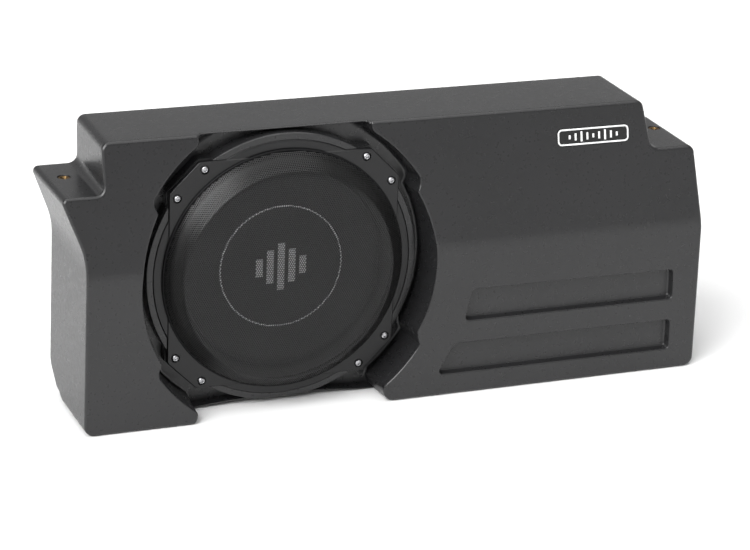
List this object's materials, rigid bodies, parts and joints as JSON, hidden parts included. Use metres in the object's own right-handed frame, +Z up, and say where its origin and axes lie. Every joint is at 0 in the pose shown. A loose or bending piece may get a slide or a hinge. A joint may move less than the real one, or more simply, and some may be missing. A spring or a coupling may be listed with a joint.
{
  "type": "powered car subwoofer",
  "caption": "Shallow moulded vehicle enclosure with a recessed slim subwoofer driver behind a domed mesh grille, stepped mounting ledges and a rear amplifier.",
  "frame": {"origin": "bottom centre of the whole object, on the surface it stands on", "axes": "+X to the right seen from the front, +Y towards the back, +Z up"},
  "size_m": [0.6606, 0.12, 0.2805],
  "materials": {
    "shell_plastic": "fine pebbled texture, matt",
    "rubber_black": "matt",
    "screw_black": "black zinc",
    "screw_bright": "bright zinc",
    "brass": "machined",
    "plywood": "bare",
    "frame_black": "satin powder coat",
    "ring_plastic": "satin",
    "mesh_black": "powder-coated steel mesh",
    "surround_rubber": "satin",
    "cone_black": "woven mineral-filled plastic, matt",
    "print_grey": "printed ink",
    "former_amber": "amber film",
    "copper": "enamelled wire",
    "spider_cloth": "resin-treated cotton",
    "motor_steel": "blackened steel",
    "ferrite": "matt",
    "terminal_black": "satin",
    "wire_red": "insulation",
    "felt_grey": "needled felt",
    "badge_black": "gloss",
    "badge_white": "gloss",
    "plate_black": "black anodised",
    "can_grey": "plain sheet",
    "board_green": "solder mask",
    "cap_sleeve": "sleeve",
    "core_green": "coated",
    "chip_black": "moulded",
    "bar_alloy": "plain",
    "knob_black": "satin",
    "switch_metal": "plain",
    "slider_white": "plain",
    "fuse_amber": "translucent",
    "jack_metal": "plated",
    "led_lens": "tinted"
  },
  "bodies": {
    "root": {"front_shell": "shell_plastic", "rear_cover": "shell_plastic", "seam_gasket": "rubber_black", "cover_screws": "screw_black", "ledge_inserts": "brass", "baffle_ring": "plywood", "driver_nuts": "screw_bright", "driver_gasket": "rubber_black", "driver_flange": "frame_black", "driver_basket": "frame_black", "driver_screws": "screw_bright", "grille_ring": "ring_plastic", "grille_mesh": "mesh_black", "surround": "surround_rubber", "spider": "spider_cloth", "top_plate": "motor_steel", "magnet": "ferrite", "yoke": "motor_steel", "driver_terminals": "terminal_black", "tinsel_leads": "copper", "speaker_wires": "wire_red", "brace_posts": "plywood", "damping_pad": "felt_grey", "badge_plate": "badge_black", "badge_print": "badge_white", "amp_plate": "plate_black", "amp_gasket": "rubber_black", "amp_screws": "screw_black", "amp_housing": "can_grey", "circuit_board": "board_green", "board_standoffs": "brass", "capacitors": "cap_sleeve", "choke_core": "core_green", "choke_winding": "copper", "power_transistors": "chip_black", "clamp_bar": "bar_alloy", "control_pots": "switch_metal", "phase_switch": "switch_metal", "power_terminals": "terminal_black", "terminal_screws": "screw_bright", "fuse_holder": "terminal_black", "fuses": "fuse_amber", "rca_jacks": "jack_metal", "remote_jack": "terminal_black", "status_led": "led_lens"},
    "cone_assembly": {"cone": "cone_black", "dust_cap": "cone_black", "cap_print": "print_grey", "coil_former": "former_amber", "voice_coil": "copper"},
    "gain": {"gain_knob": "knob_black"},
    "filter": {"filter_knob": "knob_black"},
    "boost": {"boost_knob": "knob_black"},
    "phase": {"phase_slider": "slider_white"}
  },
  "joints": [
    {"name": "cone_travel", "type": "slide", "parent": "root", "child": "cone_assembly", "axis": [0, -1, 0], "range_m": [-0.01, 0.01], "stiffness_N_per_m": 4500, "deforming": ["surround", "spider", "tinsel_leads"]},
    {"name": "gain_turn", "type": "hinge", "parent": "root", "child": "gain", "pos_m": [0.212, 0.055, 0.196], "axis": [0, 1, 0], "range_deg": [-140, 140]},
    {"name": "filter_turn", "type": "hinge", "parent": "root", "child": "filter", "pos_m": [0.234, 0.055, 0.196], "axis": [0, 1, 0], "range_deg": [-140, 140]},
    {"name": "boost_turn", "type": "hinge", "parent": "root", "child": "boost", "pos_m": [0.256, 0.055, 0.196], "axis": [0, 1, 0], "range_deg": [-140, 140]},
    {"name": "phase_slide", "type": "slide", "parent": "root", "child": "phase", "axis": [0, 0, 1], "range_m": [0, 0.004]}
  ]
}
